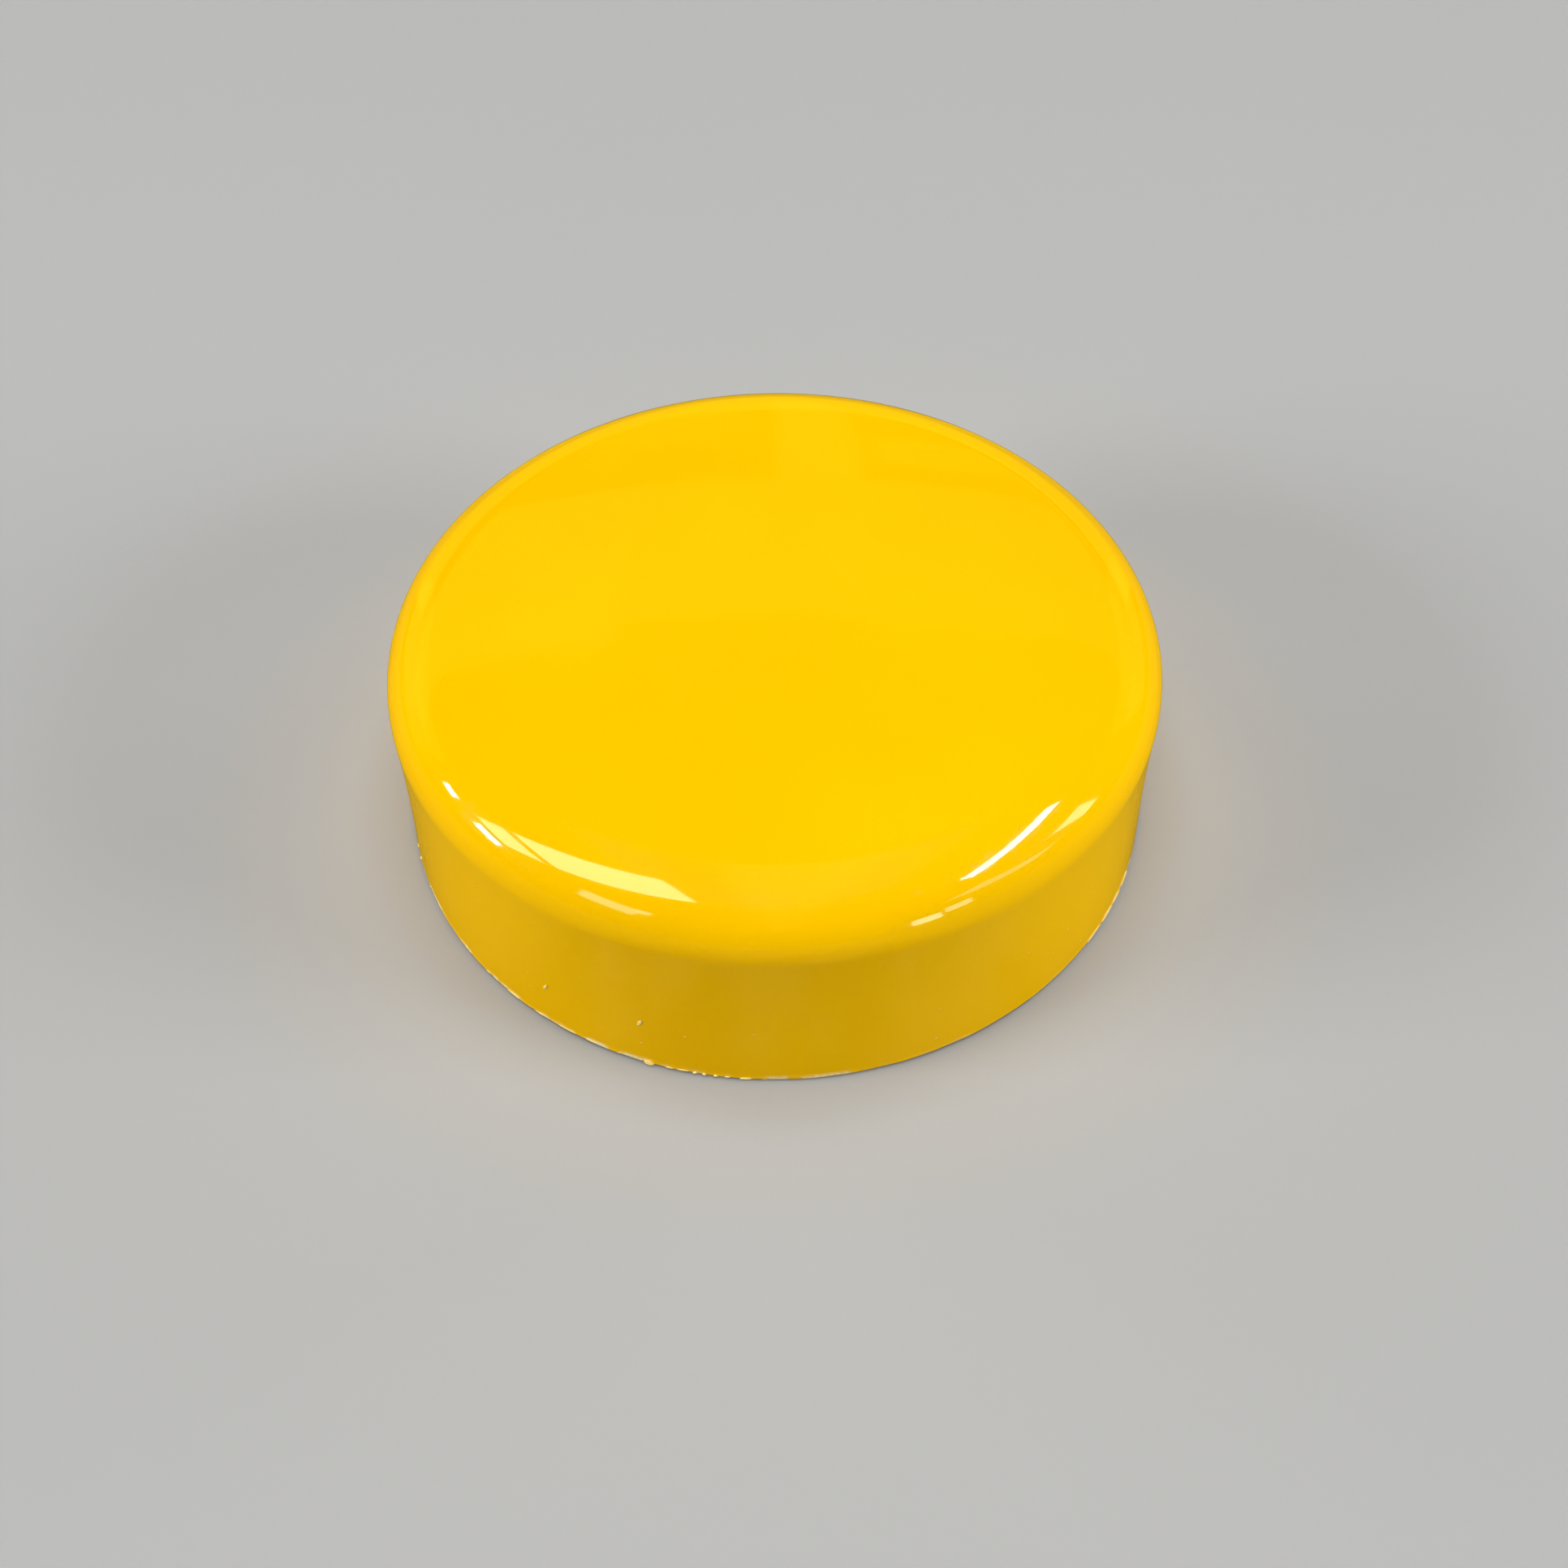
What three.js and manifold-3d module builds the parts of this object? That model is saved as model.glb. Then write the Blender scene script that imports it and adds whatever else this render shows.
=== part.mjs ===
// A small curling stone: a glossy moulded cap over an iron ballast disc, closed from
// below by a base plate that carries a raised running band.
// Millimetres, +Z up. The origin is the centre of the running band's resting face, so
// z = 0 is the surface that the stone stands on.

import * as THREE from "three";
import { mergeVertices } from "three/addons/utils/BufferGeometryUtils.js";
import Module from "manifold-3d";

const wasm = await Module();
wasm.setup();

// Facets round a full turn
const FINE = 72;
const MEDIUM = 48;
const SMALL = 16;

// How far a cutting solid runs past the face that it opens
const OVERCUT = 1;

// Vertices closer than this are one vertex
const MERGE_DISTANCE = 1e-4;

// Cap, outside: the wall draws in to a waist, swells to the shoulder and rolls over
// into a slightly crowned top. A handle is how far a control point of the rounded
// corner lies towards the corner that it replaces, as a share of the way.
const RIM_R = 38.1;
const RIM_Z = 0.4;
const WAIST_R = 37.35;
const WAIST_Z = 11.8;
const SHOULDER_R = 37.5;
const SHOULDER_Z = 17.7;
const CROWN_EDGE_R = 31;
const CROWN_RISE = 1.8;
const TOP_Z = 25.4;
const WALL_HANDLE = 0.52;
const CROWN_HANDLE = 0.62;
const WALL_STEPS = 5;
const SHOULDER_STEPS = 8;
const CROWN_STEPS = 3;

// Cap, inside: a seat for the base plate, a ledge, and a drafted wall up to the ceiling
const SEAT_R = 35.5;
const LEDGE_Z = 4;
const BORE_LOW_R = 34.9;
const BORE_HIGH_R = 34.7;
const BORE_HIGH_Z = 17;
const CEILING_EDGE_R = 29.4;
const CEILING_RISE = 1.6;
const CEILING_Z = 23;
const CEILING_CORNER_STEPS = 4;
const CEILING_STEPS = 2;

// Ceiling ribs: one along each boss radius and one ring, ending just above the spacer
const RIB_WIDTH = 1.6;
const RIB_RING_R = 14;
const RIB_Z = 19.3;
const RIB_HUB_R = 4;

// The hollow, scaled by these about the origin, ends inside the roof's thickness
const ROOF_REACH_R = 1.02;
const ROOF_REACH_Z = 1.03;

// Fastening circle: four bosses, inserts and screws
const FASTENERS = 4;
const BOLT_CIRCLE_R = 24.5;
const BOLT_START_DEG = 45;
const BOSS_R = 4;
const PILOT_R = 2.3;
const PILOT_DEPTH = 6;

// Ballast disc between a damping ring below and a foam spacer above
const BALLAST_R = 32.5;
const BALLAST_Z = 5;
const BALLAST_TOP_Z = 16;
const BALLAST_BORE_R = 5;
const BALLAST_CHAMFER = 0.6;
const BOSS_HOLE_R = 4.8;
const DAMPER_INNER_R = 8;
const DAMPER_OUTER_R = 20;
const SPACER_R = 33.5;
const SPACER_BORE_R = 6;
const SPACER_HOLE_R = 4.5;

// Base plate, its central cup, the band's groove and the seal's groove
const PLATE_R = 35.3;
const PLATE_Z = 1;
const PLATE_CHAMFER = 0.4;
const CUP_R = 12;
const CUP_MOUTH_R = 12.6;
const CUP_Z = 2;
const COUNTERBORE_R = 3.3;
const COUNTERBORE_Z = 2.8;
const SCREW_HOLE_R = 1.7;
const SEAL_GROOVE_R = 33.9;
const SEAL_GROOVE_LOW_Z = 1.8;
const SEAL_GROOVE_HIGH_Z = 3.3;

// Seal ring
const SEAL_SECTION_R = 0.7;
const SEAL_CENTRE_R = 34.7;
const SEAL_FACETS = 8;

// Running band
const BAND_INNER_R = 15;
const BAND_OUTER_R = 19;
const BAND_TOP_Z = 2.2;
const BAND_EDGE = 0.4;
const BAND_EDGE_STEPS = 2;
const BAND_CLEARANCE = 0.1;

// M3 threaded insert
const INSERT_R = 2.2;
const INSERT_WAIST_R = 1.9;
const INSERT_BORE_R = 1.55;
const INSERT_LENGTH = 5;
const INSERT_WAIST_HALF = 0.4;
const INSERT_WAIST_SLOPE = 0.2;

// M3 x 6 button-head screw
const HEAD_R = 2.85;
const HEAD_HEIGHT = 1.65;
const HEAD_FLAT_R = 1.6;
const HEAD_EDGE = 0.35;
const HEAD_STEPS = 3;
const SHANK_R = 1.45;
const SHANK_LENGTH = 6;
const SHANK_CHAMFER = 0.4;
const SOCKET_ACROSS_FLATS = 2;
const SOCKET_DEPTH = 1.04;
const HEX = 6;

// Finishes
const YELLOW = { color: 0xffcf00, roughness: 0.12, metalness: 0 };
const BLACK = { color: 0x1b1c1e, roughness: 0.6, metalness: 0 };
const BAND_WHITE = { color: 0xe9e8e2, roughness: 0.35, metalness: 0 };
const IRON = { color: 0x4a4a4c, roughness: 0.65, metalness: 0.9 };
const RUBBER = { color: 0x151515, roughness: 0.85, metalness: 0 };
const FOAM = { color: 0x55585c, roughness: 0.95, metalness: 0 };
const BRASS = { color: 0xc6a04e, roughness: 0.35, metalness: 1 };
const STEEL = { color: 0xb9bbbe, roughness: 0.3, metalness: 1 };

const stone = new THREE.Group();

const at = (r, z) => new THREE.Vector2(r, z);

// Turns a half-profile, given as radius and height, about +Z.
function turned(profile, segments) {
  const geometry = new THREE.LatheGeometry(profile, segments);
  return geometry.rotateX(Math.PI / 2);
}

// Turns a closed ring profile, given as its corners in order.
function turnedRing(corners, segments) {
  return turned([...corners, corners[0].clone()], segments);
}

// The corners of a ring's rectangular section.
function section(innerR, outerR, lowZ, highZ) {
  return [at(innerR, lowZ), at(outerR, lowZ), at(outerR, highZ), at(innerR, highZ)];
}

// An upright cylinder between two heights, centred on a point of the plan.
function post(radius, lowZ, highZ, centre, segments) {
  const geometry = new THREE.CylinderGeometry(radius, radius, highZ - lowZ, segments);
  geometry.rotateX(Math.PI / 2);
  return geometry.translate(centre.x, centre.y, (lowZ + highZ) / 2);
}

function toSolid(geometry) {
  const bare = geometry.clone();
  bare.deleteAttribute("normal");
  bare.deleteAttribute("uv");
  const merged = mergeVertices(bare, MERGE_DISTANCE);
  const vertProperties = merged.attributes.position.array;
  const triVerts = new Uint32Array(merged.index.array);
  return new wasm.Manifold(new wasm.Mesh({ numProp: 3, vertProperties, triVerts }));
}

function toGeometry(solid) {
  const mesh = solid.getMesh();
  const geometry = new THREE.BufferGeometry();
  geometry.setAttribute("position", new THREE.BufferAttribute(mesh.vertProperties, 3));
  geometry.setIndex(new THREE.BufferAttribute(mesh.triVerts, 1));
  geometry.computeVertexNormals();
  return geometry;
}

function addPart(name, geometry, finish) {
  const part = new THREE.Mesh(geometry, new THREE.MeshStandardMaterial(finish));
  part.name = name;
  stone.add(part);
}

// Bearing of each fastener, and its place in the plan
const fastenerAngles = Array.from(
  { length: FASTENERS },
  (_, i) => THREE.MathUtils.degToRad(BOLT_START_DEG + (i * 360) / FASTENERS),
);
const fastenerCentres = fastenerAngles.map((angle) =>
  at(BOLT_CIRCLE_R * Math.cos(angle), BOLT_CIRCLE_R * Math.sin(angle)),
);

// Cuts the same round hole at every fastener.
function drilled(solid, radius, lowZ, highZ) {
  return fastenerCentres.reduce(
    (body, centre) => body.subtract(toSolid(post(radius, lowZ, highZ, centre, SMALL))),
    solid,
  );
}

// The rounded corner from a wall into a shallow crown, and the crown to the axis. The
// wall reaches the shoulder with a lean of so much radius for each unit of height.
function roof(shoulder, lean, edgeR, rise, topZ, cornerSteps, crownSteps) {
  const edge = at(edgeR, topZ - rise);
  const slope = 2 * Math.atan(rise / edgeR);
  const fall = Math.tan(slope);
  const wallFoot = shoulder.x - lean * shoulder.y;
  const cornerZ = (edge.y - fall * (wallFoot - edgeR)) / (1 + fall * lean);
  const corner = at(wallFoot + lean * cornerZ, cornerZ);
  const bend = new THREE.CubicBezierCurve(
    shoulder,
    shoulder.clone().lerp(corner, WALL_HANDLE),
    edge.clone().lerp(corner, CROWN_HANDLE),
    edge,
  );
  const crownRadius = edgeR / Math.sin(slope);
  const crown = new THREE.EllipseCurve(
    0,
    topZ - crownRadius,
    crownRadius,
    crownRadius,
    Math.PI / 2 - slope,
    Math.PI / 2,
  );
  const crownPoints = crown.getPoints(crownSteps).slice(1);
  crownPoints.at(-1).x = 0;
  return [...bend.getPoints(cornerSteps), ...crownPoints];
}

function capOutline() {
  const shoulder = at(SHOULDER_R, SHOULDER_Z);
  const waist = at(WAIST_R, WAIST_Z);
  const wall = new THREE.QuadraticBezierCurve(at(RIM_R, RIM_Z), waist, shoulder);
  const top = roof(
    shoulder,
    (SHOULDER_R - WAIST_R) / (SHOULDER_Z - WAIST_Z),
    CROWN_EDGE_R,
    CROWN_RISE,
    TOP_Z,
    SHOULDER_STEPS,
    CROWN_STEPS,
  );
  return [...wall.getPoints(WALL_STEPS).slice(0, -1), ...top];
}

function capHollow() {
  const ceiling = roof(
    at(BORE_HIGH_R, BORE_HIGH_Z),
    (BORE_HIGH_R - BORE_LOW_R) / (BORE_HIGH_Z - LEDGE_Z),
    CEILING_EDGE_R,
    CEILING_RISE,
    CEILING_Z,
    CEILING_CORNER_STEPS,
    CEILING_STEPS,
  );
  return [at(SEAT_R, RIM_Z), at(SEAT_R, LEDGE_Z), at(BORE_LOW_R, LEDGE_Z), ...ceiling];
}

function capShell() {
  const inside = capHollow();
  const shell = toSolid(turned([...capOutline().reverse(), ...inside].reverse(), FINE));

  // Bosses and ribs run up into the middle of the roof's thickness.
  const reach = turned([at(0, RIM_Z), ...inside], FINE);
  const roofLimit = toSolid(reach.scale(ROOF_REACH_R, ROOF_REACH_R, ROOF_REACH_Z));
  const halfRib = RIB_WIDTH / 2;
  const ribRing = section(RIB_RING_R - halfRib, RIB_RING_R + halfRib, RIB_Z, TOP_Z);
  let stiffeners = toSolid(turnedRing(ribRing, MEDIUM));
  stiffeners = stiffeners.add(toSolid(post(RIB_HUB_R, RIB_Z, TOP_Z, at(0, 0), SMALL)));
  for (const angle of fastenerAngles) {
    const rib = new THREE.BoxGeometry(RIM_R, RIB_WIDTH, TOP_Z - RIB_Z);
    rib.translate(RIM_R / 2, 0, (TOP_Z + RIB_Z) / 2);
    rib.rotateZ(angle);
    stiffeners = stiffeners.add(toSolid(rib));
  }
  for (const centre of fastenerCentres) {
    stiffeners = stiffeners.add(toSolid(post(BOSS_R, LEDGE_Z, TOP_Z, centre, SMALL)));
  }

  const cap = shell.add(stiffeners.intersect(roofLimit));
  return toGeometry(drilled(cap, PILOT_R, LEDGE_Z - OVERCUT, LEDGE_Z + PILOT_DEPTH));
}

function ballastDisc() {
  const edge = BALLAST_CHAMFER;
  const corners = [
    at(BALLAST_BORE_R + edge, BALLAST_Z),
    at(BALLAST_R - edge, BALLAST_Z),
    at(BALLAST_R, BALLAST_Z + edge),
    at(BALLAST_R, BALLAST_TOP_Z - edge),
    at(BALLAST_R - edge, BALLAST_TOP_Z),
    at(BALLAST_BORE_R + edge, BALLAST_TOP_Z),
    at(BALLAST_BORE_R, BALLAST_TOP_Z - edge),
    at(BALLAST_BORE_R, BALLAST_Z + edge),
  ];
  const disc = toSolid(turnedRing(corners, MEDIUM));
  const topZ = BALLAST_TOP_Z + OVERCUT;
  return toGeometry(drilled(disc, BOSS_HOLE_R, BALLAST_Z - OVERCUT, topZ));
}

function foamSpacer() {
  const corners = section(SPACER_BORE_R, SPACER_R, BALLAST_TOP_Z, RIB_Z);
  const disc = toSolid(turnedRing(corners, MEDIUM));
  const lowZ = BALLAST_TOP_Z - OVERCUT;
  return toGeometry(drilled(disc, SPACER_HOLE_R, lowZ, RIB_Z + OVERCUT));
}

function dampingRing() {
  return turnedRing(section(DAMPER_INNER_R, DAMPER_OUTER_R, LEDGE_Z, BALLAST_Z), MEDIUM);
}

function basePlate() {
  const outline = [
    at(0, CUP_Z),
    at(CUP_R, CUP_Z),
    at(CUP_MOUTH_R, PLATE_Z),
    at(BAND_INNER_R - BAND_CLEARANCE, PLATE_Z),
    at(BAND_INNER_R - BAND_CLEARANCE, BAND_TOP_Z),
    at(BAND_OUTER_R + BAND_CLEARANCE, BAND_TOP_Z),
    at(BAND_OUTER_R + BAND_CLEARANCE, PLATE_Z),
    at(PLATE_R - PLATE_CHAMFER, PLATE_Z),
    at(PLATE_R, PLATE_Z + PLATE_CHAMFER),
    at(PLATE_R, SEAL_GROOVE_LOW_Z),
    at(SEAL_GROOVE_R, SEAL_GROOVE_LOW_Z),
    at(SEAL_GROOVE_R, SEAL_GROOVE_HIGH_Z),
    at(PLATE_R, SEAL_GROOVE_HIGH_Z),
    at(PLATE_R, LEDGE_Z),
    at(0, LEDGE_Z),
  ];
  const blank = toSolid(turned(outline, MEDIUM));
  const holed = drilled(blank, SCREW_HOLE_R, PLATE_Z - OVERCUT, LEDGE_Z + OVERCUT);
  return toGeometry(drilled(holed, COUNTERBORE_R, PLATE_Z - OVERCUT, COUNTERBORE_Z));
}

function sealRing() {
  const geometry = new THREE.TorusGeometry(SEAL_CENTRE_R, SEAL_SECTION_R, SEAL_FACETS, MEDIUM);
  return geometry.translate(0, 0, (SEAL_GROOVE_LOW_Z + SEAL_GROOVE_HIGH_Z) / 2);
}

function runningBand() {
  const edge = (centreR, fromAngle) =>
    new THREE.EllipseCurve(
      centreR,
      BAND_EDGE,
      BAND_EDGE,
      BAND_EDGE,
      fromAngle,
      fromAngle + Math.PI / 2,
    ).getPoints(BAND_EDGE_STEPS);
  const corners = [
    ...edge(BAND_INNER_R + BAND_EDGE, Math.PI),
    ...edge(BAND_OUTER_R - BAND_EDGE, -Math.PI / 2),
    at(BAND_OUTER_R, BAND_TOP_Z),
    at(BAND_INNER_R, BAND_TOP_Z),
  ];
  return turnedRing(corners, MEDIUM);
}

function threadedInsert(centre) {
  const middle = LEDGE_Z + INSERT_LENGTH / 2;
  const waistEnd = INSERT_WAIST_HALF + INSERT_WAIST_SLOPE;
  const corners = [
    at(INSERT_BORE_R, LEDGE_Z),
    at(INSERT_R, LEDGE_Z),
    at(INSERT_R, middle - waistEnd),
    at(INSERT_WAIST_R, middle - INSERT_WAIST_HALF),
    at(INSERT_WAIST_R, middle + INSERT_WAIST_HALF),
    at(INSERT_R, middle + waistEnd),
    at(INSERT_R, LEDGE_Z + INSERT_LENGTH),
    at(INSERT_BORE_R, LEDGE_Z + INSERT_LENGTH),
  ];
  return turnedRing(corners, SMALL).translate(centre.x, centre.y, 0);
}

function screw(centre) {
  const headZ = COUNTERBORE_Z - HEAD_HEIGHT;
  const tipZ = COUNTERBORE_Z + SHANK_LENGTH;
  const dome = new THREE.QuadraticBezierCurve(
    at(HEAD_FLAT_R, headZ),
    at(HEAD_R - HEAD_EDGE, headZ + HEAD_EDGE),
    at(HEAD_R, COUNTERBORE_Z - HEAD_EDGE),
  );
  const outline = [
    at(0, headZ),
    ...dome.getPoints(HEAD_STEPS),
    at(HEAD_R, COUNTERBORE_Z),
    at(SHANK_R, COUNTERBORE_Z),
    at(SHANK_R, tipZ - SHANK_CHAMFER),
    at(SHANK_R - SHANK_CHAMFER, tipZ),
    at(0, tipZ),
  ];
  const socketR = SOCKET_ACROSS_FLATS / 2 / Math.cos(Math.PI / HEX);
  const socketEnd = headZ + SOCKET_DEPTH;
  const socket = post(socketR, headZ - OVERCUT, socketEnd, at(0, 0), HEX);
  const solid = toSolid(turned(outline, SMALL)).subtract(toSolid(socket));
  return toGeometry(solid).translate(centre.x, centre.y, 0);
}

addPart("cap_shell", capShell(), YELLOW);
addPart("foam_spacer", foamSpacer(), FOAM);
addPart("ballast_disc", ballastDisc(), IRON);
addPart("damping_ring", dampingRing(), RUBBER);
addPart("base_plate", basePlate(), BLACK);
addPart("seal_ring", sealRing(), RUBBER);
addPart("running_band", runningBand(), BAND_WHITE);
fastenerCentres.forEach((centre, i) => {
  addPart(`threaded_insert_${i + 1}`, threadedInsert(centre), BRASS);
  addPart(`base_screw_${i + 1}`, screw(centre), STEEL);
});

export default stone;
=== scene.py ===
"""A small curling stone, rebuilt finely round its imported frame. Metres, +Z up.

The yellow cap is what shows; the base plate and running band show from below; the
ballast, foam, rubber rings, inserts and screws are inside.
"""

import math
import random

import bmesh
import bpy
from mathutils import Matrix, Vector, noise


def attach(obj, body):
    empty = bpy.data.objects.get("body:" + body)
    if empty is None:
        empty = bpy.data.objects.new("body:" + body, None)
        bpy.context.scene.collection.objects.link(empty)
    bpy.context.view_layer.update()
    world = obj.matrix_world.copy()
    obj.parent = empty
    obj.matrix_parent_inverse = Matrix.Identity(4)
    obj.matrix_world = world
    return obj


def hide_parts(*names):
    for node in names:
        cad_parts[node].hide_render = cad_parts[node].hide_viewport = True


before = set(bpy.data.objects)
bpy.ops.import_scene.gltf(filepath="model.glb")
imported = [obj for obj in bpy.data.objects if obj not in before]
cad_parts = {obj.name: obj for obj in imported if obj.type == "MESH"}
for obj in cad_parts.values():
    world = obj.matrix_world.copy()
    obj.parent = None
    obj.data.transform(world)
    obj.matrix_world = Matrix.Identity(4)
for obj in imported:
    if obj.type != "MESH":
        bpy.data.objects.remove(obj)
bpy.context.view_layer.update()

MM = 0.001
TURN = 2 * math.pi

# ---------------------------------------------------------------- sizes, millimetres
# Cap, outside
RIM_R, RIM_Z = 38.1, 0.4
WAIST_R, WAIST_Z = 37.35, 11.8
SHOULDER_R, SHOULDER_Z = 37.5, 17.7
CROWN_EDGE_R, CROWN_RISE, TOP_Z = 31, 1.8, 25.4
WALL_HANDLE, CROWN_HANDLE = 0.52, 0.62

# Cap, trimmed rim: its flat, the band that is ragged, and the ragged lip
RIM_FLAT = 0.25
TRIM_TOP_Z, TRIM_DEPTH = 1.3, 0.6
LIP_OUT, LIP_DOWN, LIP_HEIGHT = 0.12, 0.07, 0.45
RANDOM_SLIVERS = 22

# Cap, inside
SEAT_R, LEDGE_Z = 35.5, 4
BORE_LOW_R, BORE_HIGH_R, BORE_HIGH_Z = 34.9, 34.7, 17
CEILING_EDGE_R, CEILING_RISE, CEILING_Z = 29.4, 1.6, 23
RIB_WIDTH, RIB_RING_R, RIB_Z, RIB_HUB_R, RIB_FILLET = 1.6, 14, 19.3, 4, 0.3
LID_OUT, LID_UP = 1.02, 1.03

# Fasteners
FASTENERS, BOLT_CIRCLE_R, BOLT_START_DEG = 4, 24.5, 45
BOSS_R, PILOT_R, PILOT_DEPTH = 4, 2.3, 6

# Core
BALLAST_R, BALLAST_Z, BALLAST_TOP_Z, BALLAST_BORE_R = 32.5, 5, 16, 5
BOSS_HOLE_R = 4.8
DAMPER_INNER_R, DAMPER_OUTER_R = 8, 20
SPACER_R, SPACER_BORE_R, SPACER_HOLE_R = 33.5, 6, 4.5

# Base plate, seal and running band
PLATE_R, PLATE_Z = 35.3, 1
CUP_R, CUP_MOUTH_R, CUP_Z = 12, 12.6, 2
COUNTERBORE_R, COUNTERBORE_Z, SCREW_HOLE_R = 3.3, 2.8, 1.7
GROOVE_R, GROOVE_LOW_Z, GROOVE_HIGH_Z = 33.9, 1.8, 3.3
SEAL_R, SEAL_CENTRE_R, SEAL_LINE, SEAL_STEPS = 0.7, 34.7, 0.03, 24
BAND_INNER_R, BAND_OUTER_R, BAND_TOP_Z, BAND_CLEARANCE = 15, 19, 2.2, 0.1

# M3 insert and screw
INSERT_R, INSERT_WAIST_R, INSERT_BORE_R, INSERT_LENGTH = 2.2, 1.9, 1.55, 5
INSERT_THREAD, KNURLS = 0.13, 24
HEAD_R, HEAD_HEIGHT, HEAD_FLAT_R = 2.85, 1.65, 1.6
SHANK_R, SHANK_ROOT_R, SHANK_LENGTH, PITCH = 1.5, 1.22, 6, 0.5
SOCKET_ACROSS_FLATS, SOCKET_DEPTH, HEX = 2, 1.04, 6

# Steps round a turn, and the radius under which a point is on the axis
FINE, MEDIUM, SMALL = 384, 192, 48
ON_AXIS = 1e-9

# Floor and card, millimetres
STAGE_R, FLOOR_Z, CARD_Z = 1000, -0.04, -0.02

# Camera: lens and sensor width, distance and angles in degrees
LENS, SENSOR = 36.78, 36
VIEW_DISTANCE, VIEW_DOWN = 170.8, 49.20
VIEW_YAW, VIEW_TILT, VIEW_ROLL = -0.263, -0.672, 0.860


# ---------------------------------------------------------------- profiles
def bezier(points, steps):
    """Points along a Bezier curve of any degree, both ends included."""
    out = []
    for i in range(steps + 1):
        t = i / steps
        row = list(points)
        while len(row) > 1:
            row = [
                ((1 - t) * a[0] + t * b[0], (1 - t) * a[1] + t * b[1])
                for a, b in zip(row, row[1:])
            ]
        out.append(row[0])
    return out


def blend(a, b, share):
    return (a[0] + (b[0] - a[0]) * share, a[1] + (b[1] - a[1]) * share)


def rounded(corners, closed=True, steps=5):
    """Fillets the corners of a half-profile. A corner is (r, z) or (r, z, fillet)."""
    out = []
    count = len(corners)
    for i, corner in enumerate(corners):
        here = Vector(corner[:2])
        radius = corner[2] if len(corner) > 2 else 0
        if radius == 0 or (not closed and i in (0, count - 1)):
            out.append(tuple(here))
            continue
        before = (Vector(corners[i - 1][:2]) - here).normalized()
        after = (Vector(corners[(i + 1) % count][:2]) - here).normalized()
        half = before.angle(after) / 2
        reach = radius / math.tan(half)
        centre = here + (before + after).normalized() * (radius / math.sin(half))
        start = here + before * reach - centre
        end = here + after * reach - centre
        sweep = start.angle_signed(end)
        for k in range(steps + 1):
            turn = -sweep * k / steps
            c, s = math.cos(turn), math.sin(turn)
            out.append(
                (
                    centre.x + c * start.x - s * start.y,
                    centre.y + s * start.x + c * start.y,
                )
            )
    return out


def roof(shoulder, lean, edge_r, rise, top_z, corner_steps, crown_steps):
    """The rounded corner from a leaning wall into a shallow crown, and the crown."""
    edge = (edge_r, top_z - rise)
    slope = 2 * math.atan(rise / edge_r)
    fall = math.tan(slope)
    foot = shoulder[0] - lean * shoulder[1]
    corner_z = (edge[1] - fall * (foot - edge_r)) / (1 + fall * lean)
    corner = (foot + lean * corner_z, corner_z)
    bend = bezier(
        [
            shoulder,
            blend(shoulder, corner, WALL_HANDLE),
            blend(edge, corner, CROWN_HANDLE),
            edge,
        ],
        corner_steps,
    )
    radius = edge_r / math.sin(slope)
    crown = [
        (
            radius * math.sin(slope * (1 - k / crown_steps)),
            top_z - radius + radius * math.cos(slope * (1 - k / crown_steps)),
        )
        for k in range(1, crown_steps)
    ]
    return bend + crown + [(0, top_z)]


# ---------------------------------------------------------------- meshes
def to_object(name, verts, faces):
    mesh = bpy.data.meshes.new(name)
    mesh.from_pydata([tuple(c * MM for c in v) for v in verts], [], faces)
    shape = bmesh.new()
    shape.from_mesh(mesh)
    bmesh.ops.recalc_face_normals(shape, faces=shape.faces)
    shape.to_mesh(mesh)
    shape.free()
    obj = bpy.data.objects.new(name, mesh)
    bpy.context.collection.objects.link(obj)
    return obj


def turned(name, profile, segments, closed=True, shift=None, centre=(0, 0)):
    """Turns a half-profile about Z: a closed profile makes a ring, an open one has
    both its ends on the axis. shift(angle, r, z) may move each point's radius."""
    verts, faces, rows = [], [], []
    for r, z in profile:
        if r < ON_AXIS:
            rows.append([len(verts)])
            verts.append((centre[0], centre[1], z))
            continue
        start = len(verts)
        rows.append(list(range(start, start + segments)))
        for k in range(segments):
            angle = TURN * k / segments
            out, up = shift(angle, r, z) if shift else (r, z)
            verts.append(
                (
                    centre[0] + out * math.cos(angle),
                    centre[1] + out * math.sin(angle),
                    up,
                )
            )
    pairs = list(zip(rows, rows[1:]))
    if closed:
        pairs.append((rows[-1], rows[0]))
    for low, high in pairs:
        for k in range(segments):
            n = (k + 1) % segments
            if len(low) == 1 and len(high) == 1:
                break
            if len(low) == 1:
                faces.append((low[0], high[n], high[k]))
            elif len(high) == 1:
                faces.append((low[k], low[n], high[0]))
            else:
                faces.append((low[k], low[n], high[n], high[k]))
    return to_object(name, verts, faces)


def prism(name, outline, low_z, high_z):
    """An upright prism over a closed outline in the plan."""
    count = len(outline)
    verts = [(x, y, z) for z in (low_z, high_z) for x, y in outline]
    faces = [tuple(reversed(range(count))), tuple(range(count, 2 * count))]
    faces += [
        (k, (k + 1) % count, count + (k + 1) % count, count + k) for k in range(count)
    ]
    return to_object(name, verts, faces)


def combine(base, tool, operation):
    """Applies a boolean of the tool to the base, and removes the tool."""
    modifier = base.modifiers.new("combine", "BOOLEAN")
    modifier.solver = "MANIFOLD"
    modifier.operation = operation
    modifier.object = tool
    graph = bpy.context.evaluated_depsgraph_get()
    result = bpy.data.meshes.new_from_object(base.evaluated_get(graph))
    base.modifiers.clear()
    before = base.data
    base.data = result
    result.name = base.name
    bpy.data.meshes.remove(before)
    bpy.data.objects.remove(tool)
    return base


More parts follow.
